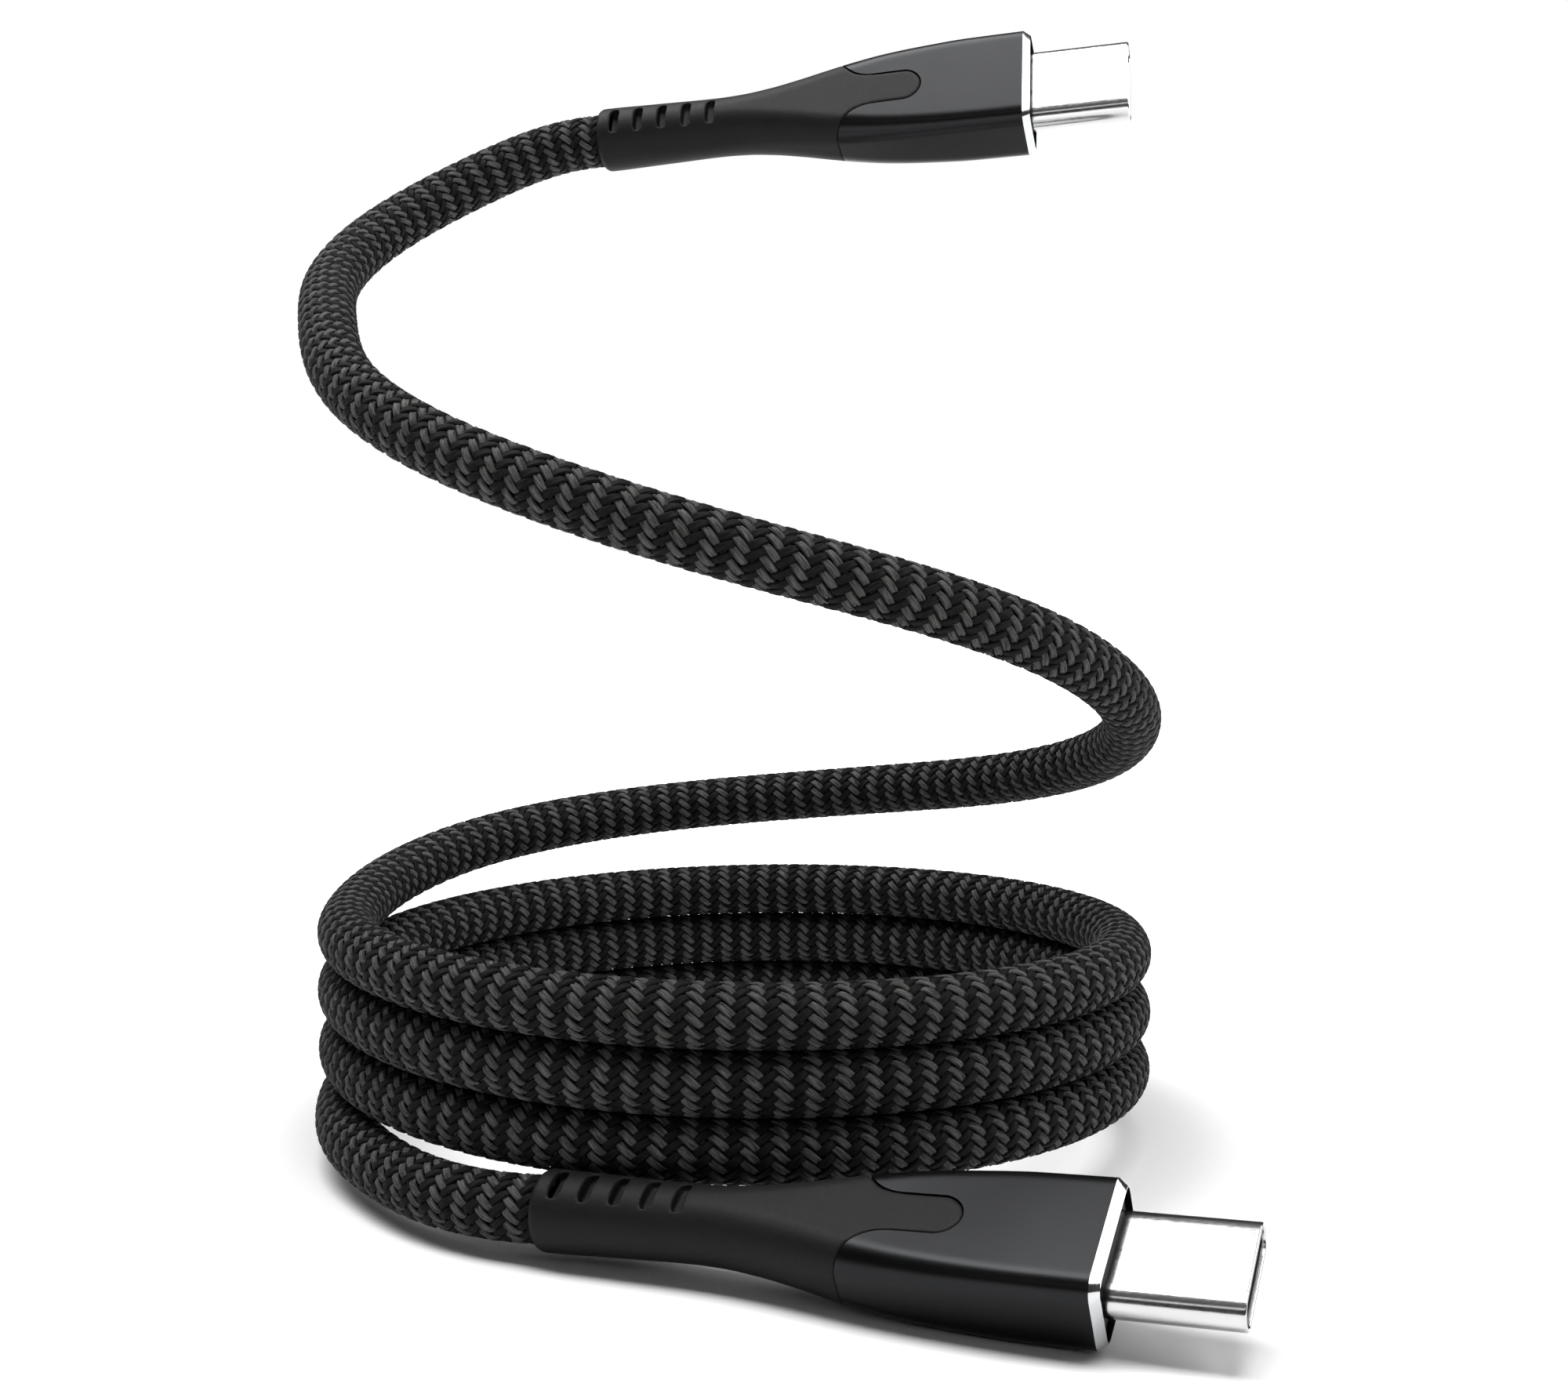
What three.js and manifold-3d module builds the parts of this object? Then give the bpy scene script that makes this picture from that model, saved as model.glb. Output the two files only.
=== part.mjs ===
// A braided charging cable with a reversible 24-contact plug on each end.
// Most of the cable is wound in a self-holding stack of turns; the rest is drawn up
// out of the stack like a spring and ends in the upper plug.
// Millimetres, +Z up. The origin is on the standing surface, under the middle of the two plugs.

import * as THREE from 'three';
import { mergeVertices } from 'three/addons/utils/BufferGeometryUtils.js';
import Module from 'manifold-3d';

// ---------------------------------------------------------------- driving dimensions

const CABLE_D = 4.6; // outside of the woven jacket
const TURN_R = 31.4; // coil axis to the middle of the cable
const TURN_PITCH = 4.69; // fall of one turn
const TURNS = 3; // whole turns in the stack, above the lead
const COIL_AXIS = [-10.622, 11.728]; // X and Y of the coil's axis
const FACE_GAP = 0.3; // between the ends of pieces that meet face to face

// Angles round the coil run from its left side (-X) through the front (-Y), in degrees.
const LEAD_START_DEG = 0; // where the lowest turn leaves the stack
const NOTCH_END_DEG = 92; // how far the lower boot lies beside the stack
const NOTCH_H = 6.2;

// Middle of the drawn-up stretch, from the stack to the upper boot, about the coil's axis.
const FREE_ROUTE = [
  [-31.4, 0, 17.57], [-30.1, 12.5, 18.4], [-24.2, 24.2, 19.75], [-13.3, 32.1, 21.1], [0, 34.6, 22.3],
  [13.2, 31.8, 23.7], [24, 24, 25.7], [30.6, 12.7, 28.8], [32.2, 0, 32.8], [29.1, -12.1, 37.2],
  [21.9, -21.9, 41.5], [11.6, -28.1, 45.1], [0, -30, 48.3], [-11.5, -27.7, 51.8], [-21.6, -21.6, 55.7],
  [-29, -12, 60.4], [-32.7, 0, 65.8], [-34.2, 11, 70.2], [-31.6, 20.9, 75.4], [-24, 27, 80.8],
  [-15.5, 28.3, 84.1], [-12.6, 27.7, 84.4],
];
// Middle of the lead, from the lowest turn to the lower boot, about the coil's axis.
const LEAD_ROUTE = [
  [-31.4, 0, 3.5], [-30.8, -7.6, 3.3], [-28.8, -15.2, 3.1], [-25, -22.2, 2.95], [-19.7, -28.5, 3.0],
  [-14.7, -31.65, 3.15], [-12.3, -32.6, 3.27],
];

// Top of the ring that stands for the wound turns: just under the drawn-up stretch where it leaves them.
const STACK_TOP_Z = LEAD_ROUTE[0][2] + TURNS * TURN_PITCH - CABLE_D / 2 - FACE_GAP;

const UPPER_PLUG = { at: FREE_ROUTE.at(-1), along: [0.965, -0.22, 0.07], roll: 58 };
const LOWER_PLUG = { at: LEAD_ROUTE.at(-1), along: [0.93, -0.367, 0.0348], roll: 26 };

// Along each plug, from the boot's open end: X of every shoulder.
const PLUG_TIP_X = 48;
const RIM_X = 39.6; // front edge of the metal housing
const INSERT_FACE_X = 39.2;
const HOUSING_REAR_X = 22.4;
const TONGUE_TIP_X = 30;
const TONGUE_W = 3.3; // across the boot's tongue on each wide face
const BOOT_POCKET_X = 15.6;
const SLOT_FIRST_X = 1.7;
const SLOT_STEP = 2.25;
const SLOT_COUNT = 5;
const SLOT_W = 0.8; // the slots cross the middle of both wide faces
const SLOT_LENGTH = 2.6;
const SLOT_FLOOR_Z = 1.8; // from the plug's axis

const HOUSING_WALL = 0.55;
const SHELL_W = 8.25; // mating size of the plug's metal shell
const SHELL_H = 2.4;
const SHELL_WALL = 0.3;
const CARRIER_SETBACK = 0.25; // from the shell's mouth to the contact carrier
const CONTACTS_PER_ROW = 12;
const CONTACT_PITCH = 0.5;
const CONTACT_W = 0.25;
const WIRES = [['wire_power', 0xa02020], ['wire_data_plus', 0x207040], ['wire_config', 0x2c4c9c],
  ['wire_data_minus', 0xd8d8d0], ['wire_ground', 0x151515]];

// Outer outline of boot and housing: x, width, height and corner radius at each station.
const OUTLINE = [
  [0, 5.4, 5.4, 2.7], [0.4, 5.6, 5.6, 2.8], [6, 5.4, 5.35, 2.67], [11.5, 5.25, 5.1, 2.55],
  [13.5, 5.4, 5.1, 2.5], [16, 6.0, 5.1, 2.4], [18.5, 6.9, 5.2, 2.3], [21, 7.9, 5.3, 2.1],
  [23.5, 8.8, 5.45, 1.9], [26.5, 9.5, 5.6, 1.6], [30, 10.0, 5.7, 1.4], [34, 10.3, 5.8, 1.25],
  [RIM_X, 10.4, 5.8, 1.2],
];

// ---------------------------------------------------------------- shape helpers

const wasm = await Module();
wasm.setup();

function solidOf(geometry) {
  const bare = geometry.clone();
  bare.deleteAttribute('normal');
  bare.deleteAttribute('uv');
  const merged = mergeVertices(bare);
  return new wasm.Manifold(new wasm.Mesh({
    numProp: 3,
    vertProperties: new Float32Array(merged.attributes.position.array),
    triVerts: new Uint32Array(merged.index.array),
  }));
}

function geometryOf(solid) {
  const mesh = solid.getMesh();
  const geometry = new THREE.BufferGeometry();
  geometry.setAttribute('position', new THREE.BufferAttribute(new Float32Array(mesh.vertProperties), 3));
  geometry.setIndex(new THREE.BufferAttribute(new Uint32Array(mesh.triVerts), 1));
  geometry.computeVertexNormals();
  return geometry;
}

// A body along X whose section is a rounded rectangle that changes from station to station.
function loft(stations, sides = 24) {
  const steps = stations.length - 1;
  const geometry = new THREE.CylinderGeometry(1, 1, 1, sides, steps, false, Math.PI / sides);
  const position = geometry.attributes.position;
  for (let i = 0; i < position.count; i += 1) {
    const [x, width, height, radius] = stations[Math.round((position.getY(i) + 0.5) * steps)];
    const c = position.getZ(i);
    const s = position.getX(i);
    const onRim = Math.hypot(c, s) > 0.5 ? 1 : 0;
    position.setXYZ(
      i,
      x,
      onRim * (Math.sign(c) * (width / 2 - radius) + radius * c),
      onRim * (Math.sign(s) * (height / 2 - radius) + radius * s),
    );
  }
  return geometry;
}

const bar = (x0, x1, width, height, radius, sides = 24) => loft(
  [[x0, width, height, radius], [x1, width, height, radius]],
  sides,
);
const rod = (x0, x1, diameter, sides = 20) => bar(x0, x1, diameter, diameter, diameter / 2, sides);

// A box from its lowest to its highest corner.
function block([x0, y0, z0], [x1, y1, z1]) {
  const geometry = new THREE.BoxGeometry(x1 - x0, y1 - y0, z1 - z0);
  geometry.translate((x0 + x1) / 2, (y0 + y1) / 2, (z0 + z1) / 2);
  return geometry;
}

function cut(body, ...tools) {
  const solid = tools.reduce((left, tool) => left.subtract(solidOf(tool)), solidOf(body));
  return geometryOf(solid);
}

// A flat plate: an outline in X and Y, given thickness in Z.
function plate(points, z0, thickness) {
  const shape = new THREE.Shape(points.map(([x, y]) => new THREE.Vector2(x, y)));
  const geometry = new THREE.ExtrudeGeometry(shape, { depth: thickness, bevelEnabled: false });
  geometry.translate(0, 0, z0);
  return geometry;
}

function tube(points, diameter, steps, sides) {
  const section = new THREE.Shape();
  section.absarc(0, 0, diameter / 2, 0, 2 * Math.PI);
  const path = new THREE.CatmullRomCurve3(points.map((p) => new THREE.Vector3(...p)));
  // A full circle gets two segments for each of curveSegments.
  return new THREE.ExtrudeGeometry(section, { steps, curveSegments: sides / 2, extrudePath: path });
}

function piece(name, geometry, [color, roughness, metalness]) {
  const material = new THREE.MeshStandardMaterial({ color, roughness, metalness });
  const mesh = new THREE.Mesh(geometry, material);
  mesh.name = name;
  return mesh;
}

const BRAID = [0x26272a, 0.85, 0];
const RUBBER = [0x141415, 0.7, 0];
const ANODISED = [0x3c3e42, 0.35, 0.9];
const NICKEL = [0xd6d7d9, 0.15, 1];
const STEEL = [0xa9abae, 0.35, 1];
const GOLD = [0xd2a550, 0.25, 1];
const BLACK_PLASTIC = [0x101011, 0.5, 0];
const CARD_GREEN = [0x1d4a33, 0.4, 0];

// ---------------------------------------------------------------- one plug, along +X

// The outline that the boot's tongue and the housing's rear edge share, seen on the wide face.
function tongueOutline(grow) {
  const half = TONGUE_W / 2 + grow;
  const tip = TONGUE_TIP_X + grow;
  const shoulder = HOUSING_REAR_X + grow;
  const shape = new THREE.Shape();
  shape.moveTo(-1, -7);
  shape.lineTo(shoulder, -7);
  shape.lineTo(shoulder, -4.2);
  shape.quadraticCurveTo(shoulder + 1.1, -half, shoulder + 3.2, -half);
  shape.lineTo(tip - half, -half);
  shape.absarc(tip - half, 0, half, -Math.PI / 2, Math.PI / 2);
  shape.lineTo(shoulder + 3.2, half);
  shape.quadraticCurveTo(shoulder + 1.1, half, shoulder, 4.2);
  shape.lineTo(shoulder, 7);
  shape.lineTo(-1, 7);
  const geometry = new THREE.ExtrudeGeometry(shape, { depth: 12, bevelEnabled: false, curveSegments: 6 });
  geometry.translate(0, 0, -6);
  return geometry;
}

function boot() {
  const slots = [];
  for (const side of [0, 180]) {
    for (let i = 0; i < SLOT_COUNT; i += 1) {
      const slot = block([-SLOT_W / 2, -SLOT_LENGTH / 2, SLOT_FLOOR_Z], [SLOT_W / 2, SLOT_LENGTH / 2, 3.4]);
      slot.rotateX(THREE.MathUtils.degToRad(side));
      slot.translate(SLOT_FIRST_X + i * SLOT_STEP, 0, 0);
      slots.push(slot);
    }
  }
  const outer = solidOf(loft(OUTLINE)).intersect(solidOf(tongueOutline(0)));
  const pocket = loft([[BOOT_POCKET_X, 5.0, 4.0, 1.9], [22, 6.6, 4.0, 1.4], [32, 8.6, 4.2, 1]]);
  const cableBore = rod(12.8, BOOT_POCKET_X + 1, 4.0);
  const solid = [pocket, cableBore, ...slots].reduce((left, tool) => left.subtract(solidOf(tool)), outer);
  return geometryOf(solid);
}

function housing() {
  const inner = loft(OUTLINE.map(([x, width, height, radius]) => [
    x === RIM_X ? RIM_X + 1 : x,
    width - 2 * HOUSING_WALL,
    height - 2 * HOUSING_WALL,
    radius - HOUSING_WALL / 2,
  ]));
  return cut(loft(OUTLINE), inner, tongueOutline(0.08));
}

function frontInsert() {
  const opening = bar(37, 41, SHELL_W + 0.1, SHELL_H + 0.1, 1.2);
  return cut(bar(37.6, INSERT_FACE_X, 9.1, 4.5, 0.85), opening);
}

function shell() {
  const width = SHELL_W - 2 * SHELL_WALL;
  const height = SHELL_H - 2 * SHELL_WALL;
  const inner = bar(34, PLUG_TIP_X + 1, width, height, height / 2);
  return cut(bar(35, PLUG_TIP_X, SHELL_W, SHELL_H, SHELL_H / 2 - 0.01), inner);
}

const contactCarrier = () => cut(
  bar(34.2, PLUG_TIP_X - CARRIER_SETBACK, 7.5, 1.7, 0.8),
  bar(33, PLUG_TIP_X, 7.1, 1.3, 0.3),
);

// One row of contacts: twelve blades that stand forward from the strip moulded into the carrier.
function contactRow(side) {
  const last = ((CONTACTS_PER_ROW - 1) * CONTACT_PITCH) / 2;
  const points = [[34.3, last + 0.3], [34.3, -last - 0.3]];
  for (let i = 0; i < CONTACTS_PER_ROW; i += 1) {
    const y = -last + i * CONTACT_PITCH;
    const left = y - CONTACT_W / 2;
    const right = y + CONTACT_W / 2;
    points.push([35, left], [46.6, left], [46.6, right], [35, right]);
  }
  return plate(points, side > 0 ? 0.46 : -0.58, 0.12);
}

// A spring arm beside the contacts, with the bump that holds the plug in its socket.
function latchArm(side) {
  const outline = [
    [36.2, 3.05], [43.6, 3.05], [44.4, 2.95], [45.1, 3.05], [45.8, 3.08], [45.8, 3.25], [36.2, 3.25],
  ];
  const points = outline.map(([x, y]) => [x, side * y]);
  return plate(side > 0 ? points : points.reverse(), -0.25, 0.5);
}

// A wire from the crimped cable end to the card's edge.
function wire(index) {
  const y = (index - 2) * 1.15;
  const start = [19.4, (index - 2) * 0.78, index % 2 ? 0.35 : -0.35];
  return tube([start, [20.4, y * 0.9, 0.6], [21.6, y, 0.95], [25.2, y, 0.95]], 0.7, 5, 8);
}

function wireOrganiser() {
  const holes = WIRES.map((_, index) => block(
    [21.3, (index - 2) * 1.15 - 0.42, 0.5],
    [24.1, (index - 2) * 1.15 + 0.42, 1.38],
  ));
  return cut(bar(22.0, 22.85, 6.0, 3.1, 0.4), ...holes);
}

// The thin steel sleeve round the card, open at both ends.
function shieldCan() {
  const walls = (x0, x1, thinner) => loft([
    [x0, 7.4 - thinner, 3.8 - thinner, 0.7], [29, 8.1 - thinner, 3.9 - thinner, 0.7],
    [34, 8.85 - thinner, 3.9 - thinner, 0.7], [x1, 8.85 - thinner, 3.9 - thinner, 0.7],
  ]);
  return cut(walls(25.2, 37.3, 0), walls(25, 38, 0.4));
}

function plug(side, { at, along, roll }) {
  const group = new THREE.Group();
  const add = (name, geometry, look) => group.add(piece(`${side}_${name}`, geometry, look));
  add('boot', boot(), RUBBER);
  add('housing', housing(), ANODISED);
  add('front_insert', frontInsert(), BLACK_PLASTIC);
  add('plug_shell', shell(), NICKEL);
  add('contact_carrier', contactCarrier(), BLACK_PLASTIC);
  add('contacts_top', contactRow(1), GOLD);
  add('contacts_bottom', contactRow(-1), GOLD);
  add('latch_left', latchArm(1), STEEL);
  add('latch_right', latchArm(-1), STEEL);
  add('mid_plate', block([34.4, -2.8, -0.2], [40.4, 2.8, 0.2]), STEEL);
  add('shield_can', shieldCan(), STEEL);
  add('card', block([22.95, -3.4, -0.4], [34.1, 3.4, 0.4]), CARD_GREEN);
  add('marker_chip', block([27.4, -1.3, 0.45], [30.2, 1.3, 1.15]), BLACK_PLASTIC);
  add('crimp_ferrule', cut(rod(15.9, 18.8, 3.9), rod(15, 20, 3.5)), STEEL);
  add('cable_end', rod(13.1, 19.1, 3.4), BLACK_PLASTIC);
  add('wire_organiser', wireOrganiser(), BLACK_PLASTIC);
  WIRES.forEach(([name, color], index) => add(name, wire(index), [color, 0.5, 0]));

  // Turn +X onto the plug's own direction, after rolling it about that direction.
  const forward = new THREE.Vector3(...along).normalize();
  const level = new THREE.Vector3(-forward.y, forward.x, 0).normalize();
  const upright = new THREE.Vector3().crossVectors(forward, level);
  const axes = new THREE.Matrix4().makeBasis(forward, level, upright);
  const turn = new THREE.Quaternion().setFromRotationMatrix(axes);
  const alongX = new THREE.Vector3(1, 0, 0);
  const rollTurn = new THREE.Quaternion().setFromAxisAngle(alongX, THREE.MathUtils.degToRad(roll));
  group.quaternion.copy(turn).multiply(rollTurn);
  group.position.set(...at);
  return group;
}

// ---------------------------------------------------------------- the cable

// Ends one of the routes a little short, so that it meets its neighbour face to face.
function shortened(route, atStart, atEnd) {
  const points = route.map((p) => new THREE.Vector3(...p));
  const last = points.length - 1;
  points[0].addScaledVector(points[1].clone().sub(points[0]).normalize(), atStart);
  points[last].addScaledVector(points[last - 1].clone().sub(points[last]).normalize(), atEnd);
  return points.map((p) => p.toArray());
}

// The wound turns as one ring, flat where it stands, with a notch where the lowest turn leaves it.
function woundTurns() {
  const inner = TURN_R - CABLE_D / 2;
  const outer = TURN_R + CABLE_D / 2;
  const corner = 1.2;
  const profile = new THREE.Path();
  profile.moveTo(inner + corner, 0);
  profile.lineTo(outer - corner, 0);
  profile.absarc(outer - corner, corner, corner, -Math.PI / 2, 0);
  profile.absarc(outer - corner, STACK_TOP_Z - corner, corner, 0, Math.PI / 2);
  profile.absarc(inner + corner, STACK_TOP_Z - corner, corner, Math.PI / 2, Math.PI);
  profile.absarc(inner + corner, corner, corner, Math.PI, 1.5 * Math.PI);
  const ring = new THREE.LatheGeometry(profile.getPoints(1), 40);
  ring.rotateX(Math.PI / 2);

  const reach = 60;
  const ray = (degrees) => [
    -reach * Math.cos(THREE.MathUtils.degToRad(degrees)),
    -reach * Math.sin(THREE.MathUtils.degToRad(degrees)),
  ];
  const notch = plate([[0, 0], ray(LEAD_START_DEG), ray(NOTCH_END_DEG)], -1, NOTCH_H + 1);
  return cut(ring, notch);
}

const cable = new THREE.Group();
cable.position.set(...COIL_AXIS, 0);
cable.add(piece('free_stretch', tube(shortened(FREE_ROUTE, 0, FACE_GAP), CABLE_D, 26, 12), BRAID));
cable.add(piece('wound_turns', woundTurns(), BRAID));
cable.add(piece('lower_lead', tube(shortened(LEAD_ROUTE, FACE_GAP, FACE_GAP), CABLE_D, 6, 12), BRAID));
cable.add(plug('upper', UPPER_PLUG));
cable.add(plug('lower', LOWER_PLUG));

export default cable;
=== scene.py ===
import math

import bpy
import numpy as np
from mathutils import Matrix, Vector


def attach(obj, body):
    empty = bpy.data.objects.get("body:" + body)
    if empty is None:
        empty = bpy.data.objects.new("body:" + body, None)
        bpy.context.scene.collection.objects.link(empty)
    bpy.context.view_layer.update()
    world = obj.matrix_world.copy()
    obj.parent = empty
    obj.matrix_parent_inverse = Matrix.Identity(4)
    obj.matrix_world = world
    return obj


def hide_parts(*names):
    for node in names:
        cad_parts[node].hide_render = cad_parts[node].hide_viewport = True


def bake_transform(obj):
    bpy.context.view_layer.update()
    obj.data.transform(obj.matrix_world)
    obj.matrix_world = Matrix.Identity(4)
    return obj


# A braided charging cable with the same reversible plug on both ends: most of it wound in a stack of
# turns, the rest drawn up out of the stack like a spring. Metres, in the frame of the CAD part.

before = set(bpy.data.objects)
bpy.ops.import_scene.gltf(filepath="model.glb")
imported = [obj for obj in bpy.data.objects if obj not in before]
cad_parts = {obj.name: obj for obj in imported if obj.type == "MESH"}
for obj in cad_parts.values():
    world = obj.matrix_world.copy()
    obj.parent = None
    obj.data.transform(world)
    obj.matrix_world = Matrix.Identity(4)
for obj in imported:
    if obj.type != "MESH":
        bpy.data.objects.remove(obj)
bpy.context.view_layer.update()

# ---------------------------------------------------------------- driving sizes

CABLE_D = 0.0046
TURN_R = 0.0314  # of a wound turn, at the middle of the cable
TURN_PITCH = 0.00469
TURNS = 3
POINTS_PER_TURN = 18
COIL_AXIS = (-0.010622, 0.011728)
BOOT_ENTRY = 0.001  # how far the jacket reaches into each boot

# The drawn-up stretch, from the top of the stack up to the upper boot, measured from the coil's axis.
FREE_ROUTE = [
    (-0.0314, 0, 0.01757), (-0.0301, 0.0125, 0.0184), (-0.0242, 0.0242, 0.01975), (-0.0133, 0.0321, 0.0211),
    (0, 0.0346, 0.0223), (0.0132, 0.0318, 0.0237), (0.024, 0.024, 0.0257), (0.0306, 0.0127, 0.0288),
    (0.0322, 0, 0.0328), (0.0291, -0.0121, 0.0372), (0.0219, -0.0219, 0.0415), (0.0116, -0.0281, 0.0451),
    (0, -0.03, 0.0483), (-0.0115, -0.0277, 0.0518), (-0.0216, -0.0216, 0.0557), (-0.029, -0.012, 0.0604),
    (-0.0327, 0, 0.0658), (-0.0342, 0.011, 0.0702), (-0.0316, 0.0209, 0.0754), (-0.024, 0.027, 0.0808),
    (-0.0155, 0.0283, 0.0841), (-0.0126, 0.0277, 0.0844),
]
# From the bottom of the stack to the lower boot.
LEAD_ROUTE = [
    (-0.0314, 0, 0.0035), (-0.0308, -0.0076, 0.0033), (-0.0288, -0.0152, 0.0031), (-0.025, -0.0222, 0.00295),
    (-0.0197, -0.0285, 0.003), (-0.0147, -0.03165, 0.00315), (-0.0123, -0.0326, 0.00327),
]

# Each plug's own frame has +X from the boot's open end to the tip, and Y across the wide face.
UPPER_PLUG = {"at": FREE_ROUTE[-1], "along": (0.965, -0.22, 0.07), "roll": 58}
LOWER_PLUG = {"at": LEAD_ROUTE[-1], "along": (0.93, -0.367, 0.0348), "roll": 26}

TIP_X = 0.048
RIM_X = 0.0396
INSERT_FACE_X = 0.0392
REAR_X = 0.0224  # the sleeve's rear edge on the narrow sides
TONGUE_TIP_X = 0.030
TONGUE_W = 0.0033
SLEEVE_WALL = 0.00055
RIM_CHAMFER = 0.0006
SHELL_W = 0.00825
SHELL_H = 0.0024
SHELL_WALL = 0.0003
SLOT_FIRST_X = 0.0017
SLOT_STEP = 0.00225
SLOT_COUNT = 5
SLOT_W = 0.0008
SLOT_LENGTH = 0.0026
SLOT_FLOOR_Z = 0.0018
SLOT_TOP_Z = 0.0034  # clear of the boot
MOUTH_D = 0.00472  # of the boot's open end, round the braid
BORE_X = (0.0128, 0.0166)
BORE_D = 0.004
BOOT_VOXEL = 0.00011
# The hollow in the boot: x, width, height and corner radius.
POCKET = [(0.0156, 0.005, 0.004, 0.0019), (0.022, 0.0066, 0.004, 0.0014), (0.032, 0.0086, 0.0042, 0.001)]

# The outer form of boot and sleeve: x, width, height and corner radius.
OUTLINE = np.array([
    (0, 0.0054, 0.0054, 0.0027), (0.0004, 0.0056, 0.0056, 0.0028), (0.006, 0.0054, 0.00535, 0.00267),
    (0.0115, 0.00525, 0.0051, 0.00255), (0.0135, 0.0054, 0.0051, 0.0025), (0.016, 0.006, 0.0051, 0.0024),
    (0.0185, 0.0069, 0.0052, 0.0023), (0.021, 0.0079, 0.0053, 0.0021), (0.0235, 0.0088, 0.00545, 0.0019),
    (0.0265, 0.0095, 0.0056, 0.0016), (0.03, 0.01, 0.0057, 0.0014), (0.034, 0.0103, 0.0058, 0.00125),
    (RIM_X, 0.0104, 0.0058, 0.0012),
])

# The braid: two families of flat yarns, each over two and under two of the other.
YARNS = 16  # in each family
BRAID_ANGLE = math.radians(42.5)
BRAID_LEAD = math.pi * CABLE_D / math.tan(BRAID_ANGLE)
STEPS_PER_LEAD = 64  # two for each crossing
YARN_R = 0.002065  # radius at which a yarn runs on average
YARN_WAVE = 0.00017
YARN_COVER = 0.9
# A yarn's section: place across it, from -1 to 1, and height.
YARN_SECTION = np.array([
    (-1, 0), (-0.6, 0.00011), (0.6, 0.00011), (1, 0), (0.85, -0.00008), (-0.85, -0.00008),
])
BRAID_SPANS = 5
CORE_R = 0.00185
CORE_SIDES = 24


# ---------------------------------------------------------------- camera

def make_camera():
    data = bpy.data.cameras.new("camera")
    data.lens = 50.4
    data.sensor_width = 36
    camera = bpy.data.objects.new("camera", data)
    camera.location = (COIL_AXIS[0] + 0.00396, COIL_AXIS[1] - 0.17826, 0.05107)
    camera.rotation_euler = (math.radians(90 - 5.02), 0, 0)
    bpy.context.scene.collection.objects.link(camera)
    bpy.context.scene.camera = camera


make_camera()


# ---------------------------------------------------------------- materials

class Shader:
    """A principled material and the nodes that feed it."""

    def __init__(self, name, **values):
        self.material = bpy.data.materials.new(name)
        self.material.use_nodes = True
        self.tree = self.material.node_tree
        self.surface = self.tree.nodes["Principled BSDF"]
        for socket, value in values.items():
            self.surface.inputs[socket.replace("_", " ")].default_value = value

    def node(self, kind, inputs=None, **settings):
        made = self.tree.nodes.new(kind)
        for name, value in settings.items():
            setattr(made, name, value)
        for socket, value in (inputs or {}).items():
            if isinstance(value, bpy.types.NodeSocket):
                self.tree.links.new(value, made.inputs[socket])
            else:
                made.inputs[socket].default_value = value
        return made

    def noise(self, vector, scale, detail=3.0, roughness=0.55):
        inputs = {"Vector": vector, "Scale": scale, "Detail": detail, "Roughness": roughness}
        return self.node("ShaderNodeTexNoise", inputs).outputs["Fac"]

    def stretched(self, vector, scale):
        return self.node("ShaderNodeVectorMath", {0: vector, 1: scale}, operation="MULTIPLY").outputs[0]

    def place(self):
        return self.node("ShaderNodeTexCoord").outputs["Object"]

    def ramp(self, factor, low, high, out_low, out_high):
        inputs = {"Value": factor, "From Min": low, "From Max": high, "To Min": out_low, "To Max": out_high}
        return self.node("ShaderNodeMapRange", inputs).outputs["Result"]

    def mixed(self, factor, first, second):
        made = self.node("ShaderNodeMix", {"Factor": factor}, data_type="RGBA")
        made.inputs[6].default_value = (*first, 1) if isinstance(first, tuple) else (0, 0, 0, 1)
        made.inputs[7].default_value = (*second, 1)
        if not isinstance(first, tuple):
            self.tree.links.new(first, made.inputs[6])
        return made.outputs[2]

    def feed(self, socket, value):
        self.tree.links.new(value, self.surface.inputs[socket])

    def bump(self, height, distance, strength=1.0):
        inputs = {"Height": height, "Distance": distance, "Strength": strength}
        self.feed("Normal", self.node("ShaderNodeBump", inputs).outputs["Normal"])


def yarn_material(name, dark, bright, patch_and_edge_shade):
    """Flat polyester yarn: fine fibres along it, with random darker patches, and painted shade that darkens
    it towards its edges.
    """
    look = Shader(name, Specular_IOR_Level=0.08)
    fibre = look.node("ShaderNodeAttribute", attribute_name="fibre").outputs["Vector"]
    streaks = look.noise(look.stretched(fibre, (7, 1500, 60)), 1.0, 4.0, 0.6)
    patches = look.noise(look.stretched(fibre, (0.6, 500, 90)), 1.0, 2.0)
    colour = look.mixed(look.ramp(streaks, 0.36, 0.66, 0, 1), dark, bright)
    # Random darker patches along the yarn, in the same colour as the painted shade at its edges.
    colour = look.mixed(look.ramp(patches, 0.35, 0.75, 0, 0.35), colour, patch_and_edge_shade)
    # Painted shade: the colour darkens towards both edges of the yarn, standing in for the shade in the
    # crevices between neighbouring yarns.
    across = look.node("ShaderNodeSeparateXYZ", {"Vector": fibre}).outputs["X"]
    edge_shade_mask = look.node("ShaderNodeMath", {0: across}, operation="ABSOLUTE").outputs[0]
    colour = look.mixed(look.ramp(edge_shade_mask, 0.6, 1.0, 0, 0.85), colour, patch_and_edge_shade)
    look.feed("Base Color", colour)
    look.feed("Roughness", look.ramp(streaks, 0.3, 0.7, 0.75, 0.55))
    look.bump(streaks, 0.00004, 0.7)
    return look.material


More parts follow.
